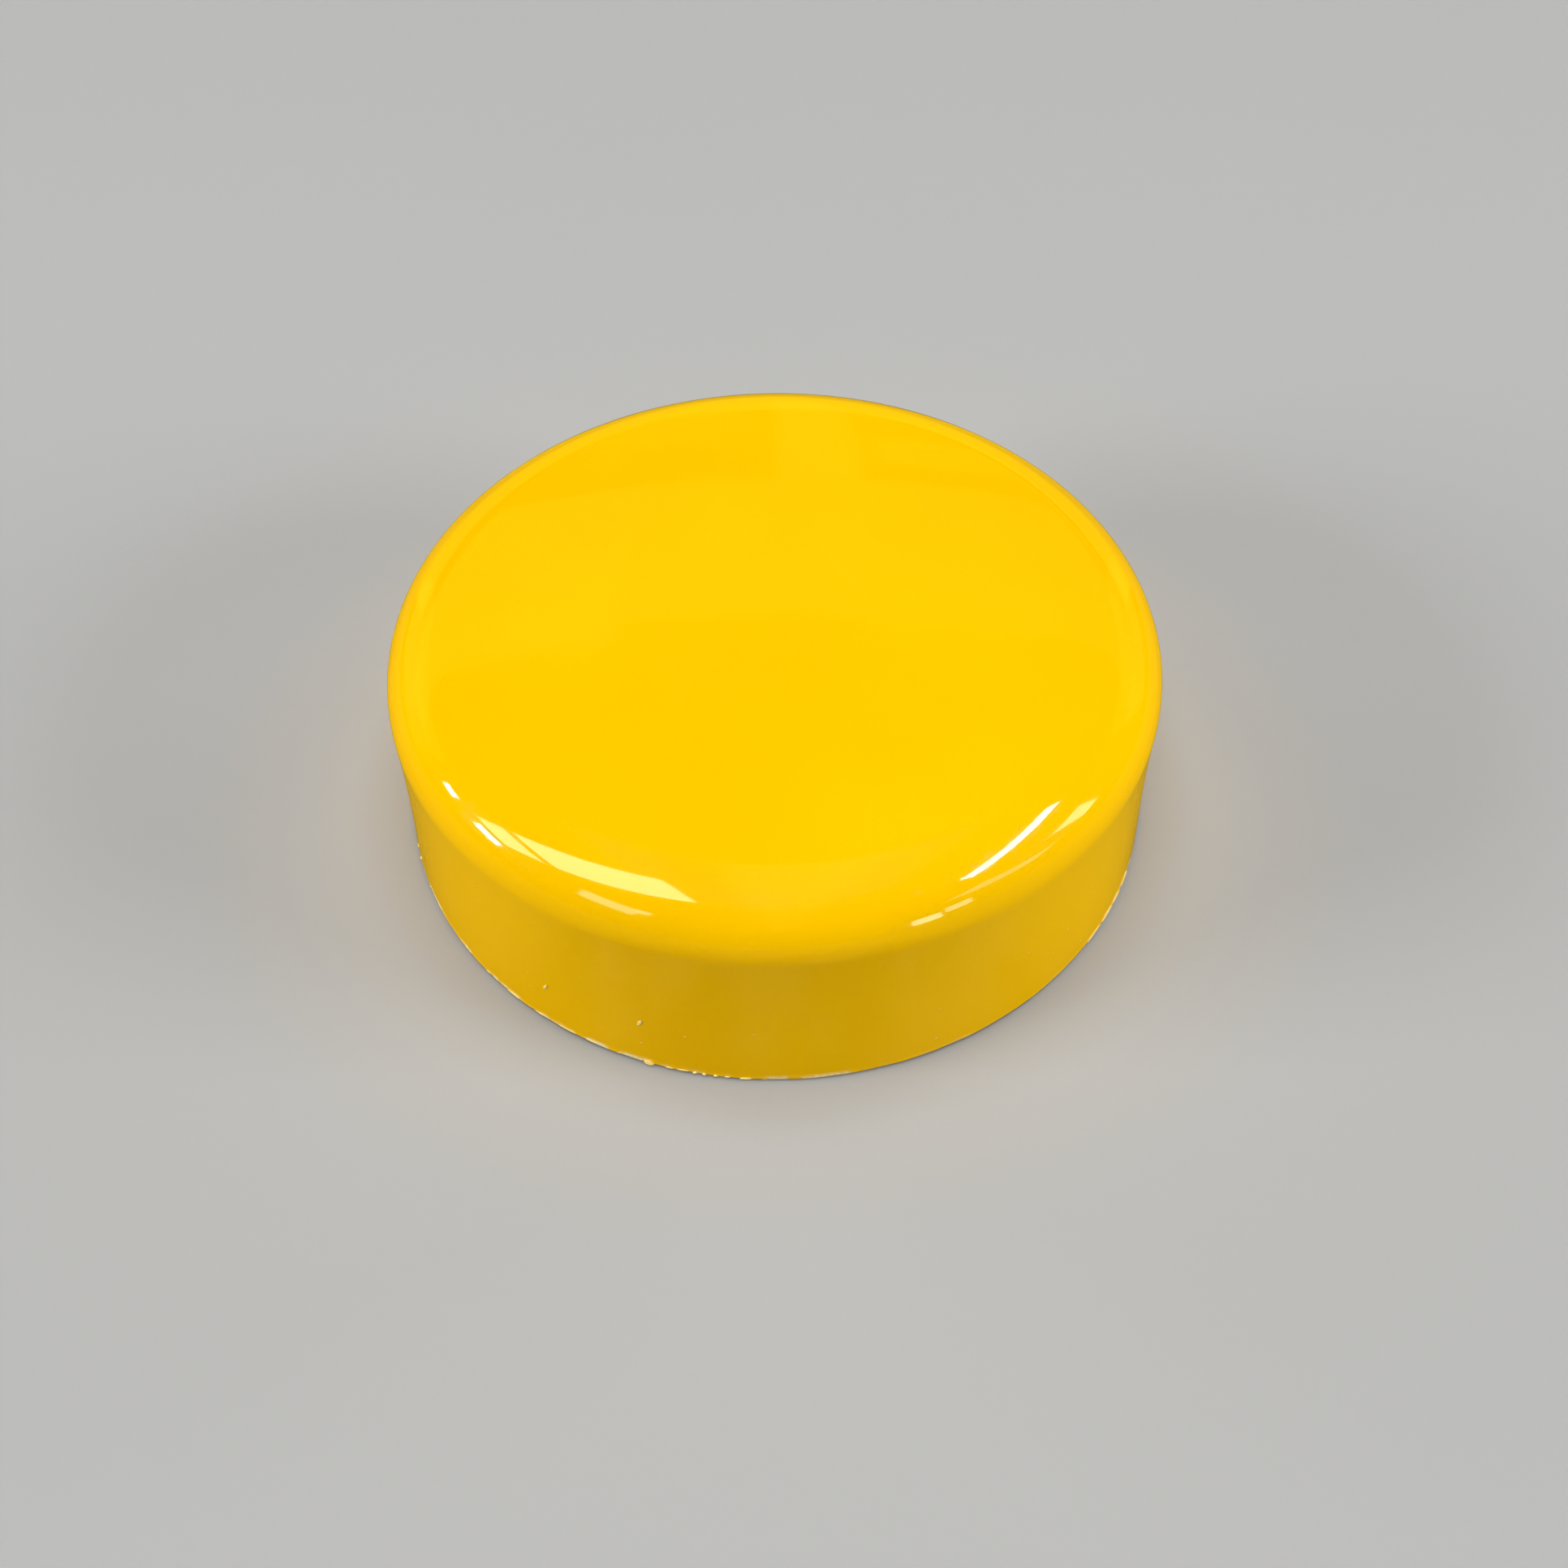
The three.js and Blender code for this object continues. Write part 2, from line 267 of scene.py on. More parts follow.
def fastener_places():
    """The bearing of each fastener, and its centre in the plan."""
    for i in range(FASTENERS):
        angle = math.radians(BOLT_START_DEG + 360 / FASTENERS * i)
        yield angle, (BOLT_CIRCLE_R * math.cos(angle), BOLT_CIRCLE_R * math.sin(angle))


def drill(base, profile, segments=SMALL):
    """Cuts the same turned hole at every fastener."""
    for _, centre in fastener_places():
        tool = turned("tool", profile, segments, closed=False, centre=centre)
        combine(base, tool, "DIFFERENCE")
    return base


def place(obj, nodes, material, sharp=32, weighted=True):
    obj.data.materials.clear()
    obj.data.materials.append(material)
    obj.data.shade_smooth()
    obj.data.set_sharp_from_angle(angle=math.radians(sharp))
    if weighted:
        modifier = obj.modifiers.new("even_normals", "WEIGHTED_NORMAL")
        modifier.keep_sharp = True
        modifier.mode = "FACE_AREA_WITH_ANGLE"
    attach(obj, "root")
    if nodes:
        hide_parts(*nodes)
    return obj


# ---------------------------------------------------------------- materials
class Nodes:
    """A material's node tree, with short calls for the nodes used here."""

    def __init__(self, name, color, roughness, **sockets):
        self.material = bpy.data.materials.new(name)
        self.material.use_nodes = True
        self.tree = self.material.node_tree
        self.shader = self.tree.nodes["Principled BSDF"]
        self.shader.inputs["Base Color"].default_value = (*color, 1)
        self.shader.inputs["Roughness"].default_value = roughness
        for socket, value in sockets.items():
            self.shader.inputs[socket.replace("_", " ")].default_value = value
        self.place = self.node("ShaderNodeTexCoord").outputs["Object"]
        self.bumps = None

    def node(self, kind, **settings):
        made = self.tree.nodes.new(kind)
        for key, value in settings.items():
            setattr(made, key, value)
        return made

    def feed(self, node, values):
        """Sets or links a node's inputs, by name or by number."""
        for key, value in values.items():
            socket = node.inputs[key]
            if isinstance(value, bpy.types.NodeSocket):
                self.tree.links.new(value, socket)
            else:
                socket.default_value = value
        return node

    def stretched(self, x, y, z):
        made = self.node("ShaderNodeVectorMath", operation="MULTIPLY")
        self.feed(made, {0: self.place, 1: (x, y, z)})
        return made.outputs[0]

    def noise(self, scale, detail=2, roughness=0.5, vector=None, distortion=0):
        made = self.node("ShaderNodeTexNoise")
        self.feed(
            made,
            {
                "Vector": vector or self.place,
                "Scale": scale,
                "Detail": detail,
                "Roughness": roughness,
                "Distortion": distortion,
            },
        )
        return made.outputs["Fac"]

    def cells(self, scale, output="Distance"):
        made = self.node("ShaderNodeTexVoronoi")
        self.feed(made, {"Vector": self.place, "Scale": scale})
        return made.outputs[output]

    def math(self, operation, a, b=0.0, clamp=False):
        made = self.node("ShaderNodeMath", operation=operation, use_clamp=clamp)
        self.feed(made, {0: a, 1: b})
        return made.outputs[0]

    def range(self, value, low, high, to_low=0.0, to_high=1.0):
        made = self.node("ShaderNodeMapRange", interpolation_type="SMOOTHSTEP")
        self.feed(made, {0: value, 1: low, 2: high, 3: to_low, 4: to_high})
        return made.outputs[0]

    def mix(self, share, a, b):
        made = self.node("ShaderNodeMix", data_type="RGBA")
        a, b = (c if isinstance(c, bpy.types.NodeSocket) else (*c, 1) for c in (a, b))
        self.feed(made, {0: share, 6: a, 7: b})
        return made.outputs[2]

    def axis(self, name):
        made = self.node("ShaderNodeSeparateXYZ")
        self.feed(made, {0: self.place})
        return made.outputs[name]

    def radius(self):
        made = self.node("ShaderNodeVectorMath", operation="LENGTH")
        self.feed(made, {0: self.stretched(1, 1, 0)})
        return made.outputs["Value"]

    def toward(self, bearing):
        """How far a place lies towards a bearing: 1 at the rim there, -1 opposite."""
        made = self.node("ShaderNodeVectorMath", operation="DOT_PRODUCT")
        angle = math.radians(bearing)
        reach = 1 / (RIM_R * MM)
        self.feed(
            made,
            {0: self.place, 1: (math.cos(angle) * reach, math.sin(angle) * reach, 0)},
        )
        return made.outputs["Value"]

    def bump(self, height, depth):
        """Adds a bump whose full height is depth metres."""
        made = self.node("ShaderNodeBump")
        values = {"Height": height, "Distance": depth}
        if self.bumps:
            values["Normal"] = self.bumps
        self.feed(made, values)
        self.bumps = made.outputs["Normal"]

    def done(self, color, roughness=None):
        """Connects the colour, and the roughness and bumps where there are any."""
        parts = {"Base Color": color, "Roughness": roughness, "Normal": self.bumps}
        given = {key: value for key, value in parts.items() if value is not None}
        self.feed(self.shader, given)
        return self.material


YELLOW = (0.95, 0.53, 0.0)
PALE = (0.93, 0.80, 0.42)


def yellow_gloss():
    """High-gloss moulded plastic: a trace of orange peel, fine hairlines, tiny pale
    nibs, and whitening along the trimmed rim, most of it on one side."""
    n = Nodes("yellow_gloss", YELLOW, 0.06, IOR=1.5)
    z = n.axis("Z")
    cloud = n.noise(22, 3)
    tone = n.mix(n.range(cloud, 0.35, 0.65), (0.93, 0.512, 0.0), (0.97, 0.545, 0.0))

    # Nibs: small pale specks just proud of the gloss, sparse
    split = n.node("ShaderNodeSeparateColor")
    n.feed(split, {0: n.cells(480, output="Color")})
    gate = n.range(split.outputs[0], 0.74, 0.75)
    wall_only = n.range(z, 0.019, 0.016)
    spot = n.range(n.cells(480), 0.085, 0.045)
    nib = n.math("MULTIPLY", spot, n.math("MULTIPLY", gate, wall_only))
    tone = n.mix(n.math("MULTIPLY", nib, 0.6), tone, (1.0, 0.78, 0.24))

    # Whitened trim edge
    low = n.range(z, 0.00105, 0.00055)
    ragged = n.range(n.noise(420, 3, 0.6), 0.44, 0.60)
    left = n.range(n.toward(-118), 0.45, 1.0)
    right = n.range(n.toward(-28), 0.93, 1.0, 0.0, 0.75)
    side = n.math("MAXIMUM", left, right)
    trim = n.math("MULTIPLY", n.math("MULTIPLY", low, ragged), side, clamp=True)
    tone = n.mix(trim, tone, PALE)

    # Orange peel, then hairlines from handling
    n.bump(n.noise(200, 1), 0.0000012)
    hair = n.noise(60, 2, 0.5, n.stretched(9, 1, 4), 1.5)
    lines = n.range(n.math("ABSOLUTE", n.math("SUBTRACT", hair, 0.5)), 0.004, 0.0)
    n.bump(lines, 0.0000006)
    n.bump(nib, 0.000008)
    rough = n.range(n.noise(90, 3), 0.3, 0.7, 0.045, 0.075)
    rough = n.math("MAXIMUM", rough, n.math("MULTIPLY", trim, 0.5))
    return n.done(tone, rough)


def flash_plastic():
    """The same plastic where it was torn: paler, patchy and rough."""
    n = Nodes("flash_plastic", PALE, 0.5, IOR=1.5)
    patches = n.range(n.noise(1400, 2), 0.35, 0.65)
    tone = n.mix(patches, (1.0, 0.85, 0.32), (1.0, 0.74, 0.16))
    n.bump(n.noise(2600, 2), 0.00001)
    return n.done(tone)


def black_moulding():
    """Spark-textured black plastic, with sliding dust caught in the texture."""
    n = Nodes("black_moulding", (0.02, 0.02, 0.022), 0.5, IOR=1.49)
    grain = n.noise(2600, 2, 0.6)
    pits = n.cells(1900)
    tone = n.mix(n.noise(130, 4), (0.016, 0.016, 0.018), (0.030, 0.030, 0.031))
    scuff = n.range(n.noise(45, 4, 0.6, n.stretched(1, 7, 1)), 0.60, 0.78)
    tone = n.mix(n.math("MULTIPLY", scuff, 0.5), tone, (0.085, 0.083, 0.080))
    n.bump(grain, 0.000035)
    n.bump(pits, 0.00003)
    rough = n.range(n.noise(300, 3), 0.3, 0.7, 0.42, 0.58)
    return n.done(tone, rough)


def running_plastic():
    """Low-friction white plastic: turning rings, sliding marks, greyed by use."""
    n = Nodes("running_plastic", (0.8, 0.79, 0.75), 0.36, IOR=1.45)
    n.shader.inputs["Subsurface Weight"].default_value = 0.15
    n.shader.inputs["Subsurface Radius"].default_value = (0.001, 0.001, 0.0008)
    made = n.node("ShaderNodeCombineXYZ")
    n.feed(made, {0: n.radius()})
    rings = n.noise(3200, 2, 0.6, made.outputs[0])
    marks = n.range(n.noise(70, 4, 0.65, n.stretched(1, 14, 1)), 0.56, 0.70)
    grime = n.range(n.noise(160, 4, 0.6), 0.45, 0.72)
    tone = n.mix(n.math("MULTIPLY", marks, 0.4), (0.80, 0.79, 0.74), (0.55, 0.54, 0.51))
    tone = n.mix(n.math("MULTIPLY", grime, 0.25), tone, (0.62, 0.59, 0.52))
    n.bump(rings, 0.000012)
    n.bump(marks, 0.00001)
    rough = n.range(n.noise(240, 3), 0.3, 0.7, 0.30, 0.46)
    return n.done(tone, rough)


def turned_metal(name, light, dark, roughness):
    """Turned metal: fine rings about its axis, with small stains and nicks."""
    n = Nodes(name, light, roughness, Metallic=1.0)
    made = n.node("ShaderNodeCombineXYZ")
    n.feed(made, {0: n.radius(), 2: n.axis("Z")})
    rings = n.noise(5200, 2, 0.6, made.outputs[0])
    stain = n.range(n.noise(700, 4, 0.6), 0.48, 0.70)
    tone = n.mix(n.math("MULTIPLY", stain, 0.6), light, dark)
    nick = n.range(n.cells(1500), 0.10, 0.05)
    n.bump(rings, 0.000006)
    n.bump(nick, -0.00001)
    rough = n.range(n.noise(900, 3), 0.3, 0.7, roughness - 0.06, roughness + 0.10)
    return n.done(tone, rough)


def cast_iron():
    """Oiled grey iron: a cast skin on the rim, faint turning rings on the faces."""
    n = Nodes("cast_iron", (0.07, 0.07, 0.075), 0.45, Metallic=0.85)
    made = n.node("ShaderNodeCombineXYZ")
    n.feed(made, {0: n.radius()})
    rings = n.noise(2400, 2, 0.55, made.outputs[0])
    skin = n.noise(900, 5, 0.65)
    rust = n.range(n.noise(140, 5, 0.65), 0.60, 0.74)
    tone = n.mix(n.noise(260, 4), (0.055, 0.055, 0.060), (0.115, 0.112, 0.110))
    tone = n.mix(n.math("MULTIPLY", rust, 0.7), tone, (0.115, 0.052, 0.026))
    n.bump(skin, 0.00006)
    n.bump(rings, 0.00001)
    rough = n.range(n.noise(180, 4), 0.3, 0.7, 0.34, 0.66)
    return n.done(tone, rough)


def black_rubber():
    """Matte black rubber with a faint grey bloom."""
    n = Nodes("black_rubber", (0.02, 0.02, 0.02), 0.75, IOR=1.5)
    bloom = n.math("MULTIPLY", n.range(n.noise(200, 4, 0.6), 0.5, 0.75), 0.5)
    tone = n.mix(bloom, (0.018, 0.018, 0.018), (0.055, 0.054, 0.052))
    n.bump(n.noise(3000, 3), 0.00002)
    rough = n.range(n.noise(400, 3), 0.3, 0.7, 0.66, 0.85)
    return n.done(tone, rough)


def closed_foam():
    """Closed-cell foam: cut cells on every face, a little dust."""
    n = Nodes("closed_foam", (0.09, 0.095, 0.105), 0.9, IOR=1.4)
    cell = n.cells(1500)
    large = n.cells(620)
    tone = n.mix(n.range(cell, 0.1, 0.6), (0.055, 0.058, 0.066), (0.115, 0.120, 0.130))
    dust = n.math("MULTIPLY", n.range(n.noise(110, 4), 0.45, 0.7), 0.3)
    tone = n.mix(dust, tone, (0.17, 0.17, 0.175))
    n.bump(cell, 0.00022)
    n.bump(large, 0.00012)
    return n.done(tone)


def pale_floor():
    """Plain light grey, with no shine."""
    n = Nodes("pale_floor", (0.42, 0.42, 0.41), 0.9, IOR=1.3)
    n.shader.inputs["Specular IOR Level"].default_value = 0.0
    tone = n.mix(n.noise(9, 3), (0.415, 0.415, 0.408), (0.425, 0.425, 0.418))
    return n.done(tone)


def dark_card_with_painted_glow():
    """What the gloss reflects of the floor: dark and patchy, with a painted band of yellow
    light on the left and right of the stone, whose reflection lifts the colour of its side
    walls."""
    n = Nodes("dark_card_with_painted_glow", (0.12, 0.10, 0.03), 0.9, IOR=1.3)
    n.shader.inputs["Specular IOR Level"].default_value = 0.0
    patches = n.range(n.noise(70, 4, 0.6), 0.40, 0.62)
    tone = n.mix(patches, (0.055, 0.050, 0.016), (0.22, 0.19, 0.055))
    # Painted light: a yellow band left and right of the stone, reflected in its side walls
    # to brighten them
    across = n.math("ABSOLUTE", n.axis("X"))
    outside = n.range(across, 0.026, 0.036)
    inside = n.range(across, 0.075, 0.050)
    glow = n.math("MULTIPLY", outside, inside)
    tone = n.mix(glow, tone, (0.34, 0.25, 0.03))
    return n.done(tone)


gloss = yellow_gloss()
flash = flash_plastic()
moulding = black_moulding()
running = running_plastic()
brass = turned_metal("turned_brass", (0.80, 0.60, 0.28), (0.46, 0.31, 0.13), 0.28)
steel = turned_metal("turned_steel", (0.60, 0.60, 0.59), (0.38, 0.37, 0.36), 0.26)
iron = cast_iron()
rubber = black_rubber()
foam = closed_foam()


# ---------------------------------------------------------------- cap
FLASH_BEARING = -118


def roughness_of_trim(angle):
    """How ragged the trimmed rim is at a bearing, from 0 to 1: worst on one side."""
    side = math.cos(angle - math.radians(FLASH_BEARING))
    share = 0.18 + 0.82 * max(0, (side - 0.2) / 0.8)
    wave = noise.noise(Vector((math.cos(angle) * 11, math.sin(angle) * 11, 3.7)))
    fine = noise.noise(Vector((math.cos(angle) * 47, math.sin(angle) * 47, 8.1)))
    return max(0, 0.35 + 0.5 * wave + 0.35 * fine) * share


def within_box(r, angle):
    """Keeps a radius inside the square round the rim."""
    return min(r, RIM_R / max(abs(math.cos(angle)), abs(math.sin(angle))))


def rim_shift(angle, r, z):
    """The trimmed rim: a ragged lip that stands out and hangs down a little."""
    if z > TRIM_TOP_Z or r < RIM_R - TRIM_DEPTH:
        return r, z
    ragged = roughness_of_trim(angle)
    near = max(0, 1 - (z - RIM_Z) / LIP_HEIGHT)
    out = within_box(r + LIP_OUT * ragged * near, angle)
    return out, z - LIP_DOWN * ragged * near


def cap_outline():
    """The cap's outer half-profile, from the rim up to the middle of the top."""
    shoulder = (SHOULDER_R, SHOULDER_Z)
    wall = bezier([(RIM_R, RIM_Z), (WAIST_R, WAIST_Z), shoulder], 200)
    edge = [(RIM_R - RIM_FLAT, RIM_Z), (RIM_R - 0.12, RIM_Z)]
    edge += [(RIM_R - 0.04, RIM_Z + 0.02), (RIM_R - 0.005, RIM_Z + 0.07)]
    heights = [0.56, 0.68, 0.82, 1.0, 1.35, 1.8, 2.4, 3.2]
    heights += [4.2 + 0.9 * k for k in range(15)]
    lower = []
    for height in heights:
        k = next(i for i, point in enumerate(wall) if point[1] >= height)
        low, high = wall[k - 1], wall[k]
        share = (height - low[1]) / (high[1] - low[1])
        lower.append(blend(low, high, share))
    lean = (SHOULDER_R - WAIST_R) / (SHOULDER_Z - WAIST_Z)
    top = roof(shoulder, lean, CROWN_EDGE_R, CROWN_RISE, TOP_Z, 44, 26)
    return edge + lower + top


def cap_hollow():
    """The half-profile of the ceiling inside, from the top of the bore to the middle."""
    bore = (BORE_HIGH_R, BORE_HIGH_Z)
    lean = (BORE_HIGH_R - BORE_LOW_R) / (BORE_HIGH_Z - LEDGE_Z)
    return roof(bore, lean, CEILING_EDGE_R, CEILING_RISE, CEILING_Z, 12, 6)


def cap():
    inside = rounded(
        [(RIM_R - RIM_FLAT, RIM_Z), (SEAT_R, RIM_Z, 0.2), (SEAT_R, LEDGE_Z, 0.15)]
        + [(BORE_LOW_R, LEDGE_Z, 0.15), (BORE_HIGH_R, BORE_HIGH_Z)],
        closed=False,
        steps=3,
    )[1:-1]
    outline = cap_outline()
    profile = outline + list(reversed(inside + cap_hollow()))
    body = turned("cap", profile, FINE, closed=True, shift=rim_shift)

    # Ribs and bosses end inside the roof's thickness, under a lid like the ceiling.
    lid = [(0, LEDGE_Z - 1), (BORE_LOW_R + 0.4, LEDGE_Z - 1)]
    lid += [(r * LID_OUT, z * LID_UP) for r, z in cap_hollow()]
    half = RIB_WIDTH / 2
    ring = rounded(
        [(RIB_RING_R - half, RIB_Z, RIB_FILLET), (RIB_RING_R + half, RIB_Z, RIB_FILLET)]
        + [(RIB_RING_R + half, TOP_Z), (RIB_RING_R - half, TOP_Z)],
        steps=3,
    )
    stiff = turned("stiff", ring, MEDIUM)
    hub = rounded(
        [(0, RIB_Z), (RIB_HUB_R, RIB_Z, RIB_FILLET), (RIB_HUB_R, TOP_Z), (0, TOP_Z)],
        closed=False,
        steps=3,
    )
    combine(stiff, turned("tool", hub, SMALL, closed=False), "UNION")
    for angle, centre in fastener_places():
        section = rounded(
            [(-half, RIB_Z, RIB_FILLET), (half, RIB_Z, RIB_FILLET)]
            + [(half, TOP_Z), (-half, TOP_Z)],
            steps=3,
        )
        verts = []
        for reach in (1.0, RIM_R - 0.5):
            for y, z in section:
                verts.append(
                    (
                        reach * math.cos(angle) - y * math.sin(angle),
                        reach * math.sin(angle) + y * math.cos(angle),
                        z,
                    )
                )
        count = len(section)
        faces = [tuple(range(count)), tuple(range(count, 2 * count))]
        faces += [
            (k, (k + 1) % count, count + (k + 1) % count, count + k)
            for k in range(count)
        ]
        combine(stiff, to_object("tool", verts, faces), "UNION")
        boss = rounded(
            [(0, LEDGE_Z), (BOSS_R, LEDGE_Z, 0.3), (BOSS_R + 0.15, TOP_Z), (0, TOP_Z)],
            closed=False,
            steps=3,
        )
        tool = turned("tool", boss, SMALL, closed=False, centre=centre)
        combine(stiff, tool, "UNION")
    combine(stiff, turned("tool", lid, FINE // 2, closed=False), "INTERSECT")
    combine(body, stiff, "UNION")
    pilot = [(0, LEDGE_Z - 1), (PILOT_R + 1.3, LEDGE_Z - 1), (PILOT_R, LEDGE_Z + 0.3)]
    pilot += [(PILOT_R, LEDGE_Z + PILOT_DEPTH), (0, LEDGE_Z + PILOT_DEPTH + 0.6)]
    drill(body, pilot)
    return place(body, ["cap_shell"], gloss, sharp=28, weighted=False)


def wall_radius(z):
    """The wall's outer radius at a height."""
    wall = bezier([(RIM_R, RIM_Z), (WAIST_R, WAIST_Z), (SHOULDER_R, SHOULDER_Z)], 60)
    for low, high in zip(wall, wall[1:]):
        if low[1] <= z <= high[1]:
            return blend(low, high, (z - low[1]) / (high[1] - low[1]))[0]
    return RIM_R


def sliver(verts, faces, bearing, z, length, height, thick, lean, seed):
    """One closed, irregular sliver of plastic lying on the wall or along the rim."""
    angle = math.radians(bearing)
    out = Vector((math.cos(angle), math.sin(angle), 0))
    along = Vector((-math.sin(angle), math.cos(angle), 0))
    up = Vector((0, 0, 1))
    tilt = math.radians(lean)
    long_axis = along * math.cos(tilt) + up * math.sin(tilt)
    short_axis = up * math.cos(tilt) - along * math.sin(tilt)
    centre = out * (wall_radius(z) + thick * 0.25) + up * z
    rows, cols, start = 9, 12, len(verts)
    for i in range(1, rows):
        polar = math.pi * i / rows
        for j in range(cols):
            turn = TURN * j / cols
            wobble = 1 + 0.35 * noise.noise(
                Vector((math.cos(turn) * 1.7 + seed, math.sin(turn) * 1.7, polar * 1.3))
            )
            p = centre + long_axis * (math.cos(polar) * length / 2 * wobble)
            p += short_axis * (math.sin(polar) * math.cos(turn) * height / 2 * wobble)
            p += out * (math.sin(polar) * math.sin(turn) * thick / 2 * wobble)
            verts.append(clamped(p))
    poles = [centre + long_axis * length / 2, centre - long_axis * length / 2]
    for pole in poles:
        verts.append(clamped(pole))
    first, last = len(verts) - 2, len(verts) - 1
    end = start + (rows - 2) * cols
    for j in range(cols):
        n = (j + 1) % cols
        faces.append((first, start + j, start + n))
        faces.append((last, end + n, end + j))
        for i in range(rows - 2):
            a, b = start + i * cols, start + (i + 1) * cols
            faces.append((a + j, b + j, b + n, a + n))


def clamped(p):
    """Keeps a point inside the box round the cap, and off the floor."""
    limit = RIM_R - 0.002
    return (
        max(-limit, min(limit, p.x)),
        max(-limit, min(limit, p.y)),
        max(0.05, p.z),
    )


# Slivers along the rim, and last two flakes on the wall:
# bearing, z, length, width, thickness, lean
CHIPS = (
    (-108.5, 0.46, 0.95, 0.42, 0.34, -4),
    (-103.6, 0.50, 1.10, 0.14, 0.14, 3),
    (-101.9, 0.48, 0.36, 0.24, 0.22, 10),
    (-100.6, 0.48, 0.34, 0.26, 0.24, -8),
    (-99.0, 0.47, 0.40, 0.22, 0.20, 5),
    (-97.4, 0.46, 0.50, 0.16, 0.16, 0),
    (-94.9, 0.44, 1.00, 0.22, 0.22, 2),
    (-92.2, 0.40, 0.55, 0.12, 0.12, -6),
    (-112.9, 0.50, 0.50, 0.12, 0.12, 4),
    (-117.3, 0.52, 1.30, 0.12, 0.12, 1),
    (-121.4, 0.52, 1.90, 0.13, 0.12, -1),
    (-126.2, 0.52, 1.20, 0.11, 0.12, 1),
    (-131.5, 0.50, 1.60, 0.12, 0.12, -1),
    (-137.0, 0.50, 0.60, 0.10, 0.10, 0),
    (-161.5, 0.52, 0.40, 0.16, 0.15, 6),
    (-163.7, 0.62, 0.24, 0.18, 0.15, 40),
    (-25.0, 0.50, 2.20, 0.10, 0.12, 0),
    (-28.6, 0.50, 2.00, 0.13, 0.14, 1),
    (-32.2, 0.50, 2.40, 0.11, 0.13, 0),
    (-36.4, 0.50, 2.60, 0.10, 0.12, 0),
    (-124.5, 5.60, 1.15, 0.30, 0.13, 62),
    (-109.4, 6.40, 1.05, 0.36, 0.15, 66),
)


def rim_flash():
    """The slivers and flakes of CHIPS, and a few more at random round the rest."""
    verts, faces = [], []
    for seed, (bearing, z, length, height, thick, lean) in enumerate(CHIPS):
        sliver(verts, faces, bearing, z, length, height, thick, lean, seed * 5.3)
    draw = random.Random(11)
    for seed in range(RANDOM_SLIVERS):
        bearing = draw.uniform(10, 255)
        length, height = draw.uniform(0.2, 0.7), draw.uniform(0.08, 0.16)
        sliver(verts, faces, bearing, 0.46, length, height, height, 0, 200 + seed * 3.1)
    flakes = to_object("rim_flash", verts, faces)
    return place(flakes, [], flash, weighted=False)


# ---------------------------------------------------------------- inner pieces
def spacer():
    """Foam pressed to 3.3 mm between the ballast and the cap's ribs."""
    low, high = BALLAST_TOP_Z, RIB_Z
    profile = rounded(
        [(SPACER_BORE_R, low, 0.3), (SPACER_R, low, 0.5)]
        + [(SPACER_R, high, 0.8), (SPACER_BORE_R, high, 0.5)],
        steps=6,
    )
    body = turned("spacer", profile, MEDIUM)
    hole = [(0, low - 1), (SPACER_HOLE_R, low - 1), (SPACER_HOLE_R, low + 4), (0, low + 4)]
    drill(body, hole)
    piece = place(body, ["foam_spacer"], foam)
    return piece


def ballast():
    edge = 0.6
    corners = [
        (BALLAST_BORE_R, BALLAST_Z, edge),
        (BALLAST_R, BALLAST_Z, edge),
        (BALLAST_R, BALLAST_TOP_Z, edge),
        (BALLAST_BORE_R, BALLAST_TOP_Z, edge),
    ]
    body = turned("ballast", rounded(corners, steps=5), MEDIUM)
    low, high, r = BALLAST_Z, BALLAST_TOP_Z, BOSS_HOLE_R
    hole = [(0, low - 1), (r + 1.4, low - 1), (r, low + 0.4), (r, high - 0.4)]
    hole += [(r + 1.4, high + 1), (0, high + 1)]
    drill(body, hole)
    return place(body, ["ballast_disc"], iron)


def damper():
    corners = [
        (DAMPER_INNER_R, LEDGE_Z, 0.2),
        (DAMPER_OUTER_R, LEDGE_Z, 0.2),
        (DAMPER_OUTER_R, BALLAST_Z, 0.2),
        (DAMPER_INNER_R, BALLAST_Z, 0.2),
    ]
    body = turned("damper", rounded(corners, steps=4), MEDIUM)
    return place(body, ["damping_ring"], rubber)


def base():
    inner, outer = BAND_INNER_R - BAND_CLEARANCE, BAND_OUTER_R + BAND_CLEARANCE
    corners = [
        (0, CUP_Z),
        (CUP_R, CUP_Z, 0.45),
        (CUP_MOUTH_R, PLATE_Z, 0.25),
        (inner, PLATE_Z, 0.15),
        (inner, BAND_TOP_Z, 0.1),
        (outer, BAND_TOP_Z, 0.1),
        (outer, PLATE_Z, 0.15),
        (PLATE_R, PLATE_Z, 0.4),
        (PLATE_R, GROOVE_LOW_Z, 0.08),
        (GROOVE_R, GROOVE_LOW_Z, 0.12),
        (GROOVE_R, GROOVE_HIGH_Z, 0.12),
        (PLATE_R, GROOVE_HIGH_Z, 0.08),
        (PLATE_R, LEDGE_Z, 0.12),
        (0, LEDGE_Z),
    ]
    body = turned("base", rounded(corners, closed=False, steps=5), MEDIUM, closed=False)
    low, r = PLATE_Z, COUNTERBORE_R
    bore = [(0, low - 1), (r + 1.25, low - 1), (r + 0.01, low + 0.24), (r, low + 0.25)]
    bore += [(r, COUNTERBORE_Z - 0.06), (r - 0.06, COUNTERBORE_Z)]
    bore += [(SCREW_HOLE_R, COUNTERBORE_Z), (SCREW_HOLE_R, LEDGE_Z + 1)]
    bore += [(0, LEDGE_Z + 1)]
    drill(body, bore)
    return place(body, ["base_plate"], moulding)


